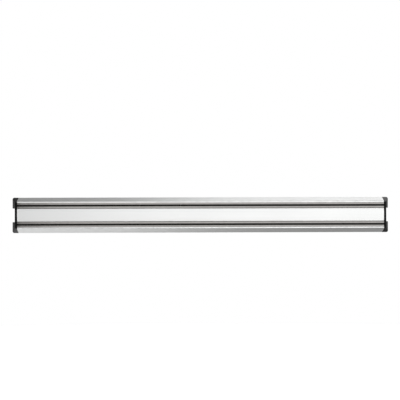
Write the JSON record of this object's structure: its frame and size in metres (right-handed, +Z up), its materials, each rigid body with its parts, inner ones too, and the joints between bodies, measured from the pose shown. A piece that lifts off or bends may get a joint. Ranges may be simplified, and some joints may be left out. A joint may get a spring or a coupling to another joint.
{
  "type": "magnetic knife rack",
  "caption": "Wall-hung aluminium bar with black end caps; magnets between polished steel strips in its front grooves hold kitchen knives by the blade.",
  "frame": {"origin": "middle of the rack's back, on the plane of the wall it hangs on", "axes": "+X along the rack to the right as seen from the front, +Y into the wall, +Z up; the front faces -Y"},
  "size_m": [0.5, 0.0409, 0.047],
  "materials": {
    "rail": "satin",
    "pole_steel": "polished",
    "ferrite": "matte",
    "cap_plastic": "satin",
    "clip_plastic": "matte",
    "screw_steel": "satin"
  },
  "bodies": {
    "rack": {"rail_extrusion": "rail", "upper_pole_top": "pole_steel", "upper_pole_bottom": "pole_steel", "lower_pole_top": "pole_steel", "lower_pole_bottom": "pole_steel", "upper_magnet_1": "ferrite", "upper_magnet_2": "ferrite", "upper_magnet_3": "ferrite", "upper_magnet_4": "ferrite", "upper_magnet_5": "ferrite", "upper_magnet_6": "ferrite", "upper_magnet_7": "ferrite", "upper_magnet_8": "ferrite", "upper_magnet_9": "ferrite", "lower_magnet_1": "ferrite", "lower_magnet_2": "ferrite", "lower_magnet_3": "ferrite", "lower_magnet_4": "ferrite", "lower_magnet_5": "ferrite", "lower_magnet_6": "ferrite", "lower_magnet_7": "ferrite", "lower_magnet_8": "ferrite", "lower_magnet_9": "ferrite"},
    "left_cap": {"end_cap_left": "cap_plastic"},
    "right_cap": {"end_cap_right": "cap_plastic"},
    "left_clip": {"wall_clip_left": "clip_plastic", "wall_screw_left": "screw_steel"},
    "right_clip": {"wall_clip_right": "clip_plastic", "wall_screw_right": "screw_steel"}
  },
  "joints": [
    {"name": "left_cap_pull", "type": "slide", "parent": "rack", "child": "left_cap", "axis": [-1, 0, 0], "range_m": [0, 0.02]},
    {"name": "right_cap_pull", "type": "slide", "parent": "rack", "child": "right_cap", "axis": [1, 0, 0], "range_m": [0, 0.02]},
    {"name": "left_clip_slide", "type": "slide", "parent": "rack", "child": "left_clip", "axis": [1, 0, 0], "range_m": [-0.043, 0.149]},
    {"name": "right_clip_slide", "type": "slide", "parent": "rack", "child": "right_clip", "axis": [1, 0, 0], "range_m": [-0.149, 0.043]}
  ]
}
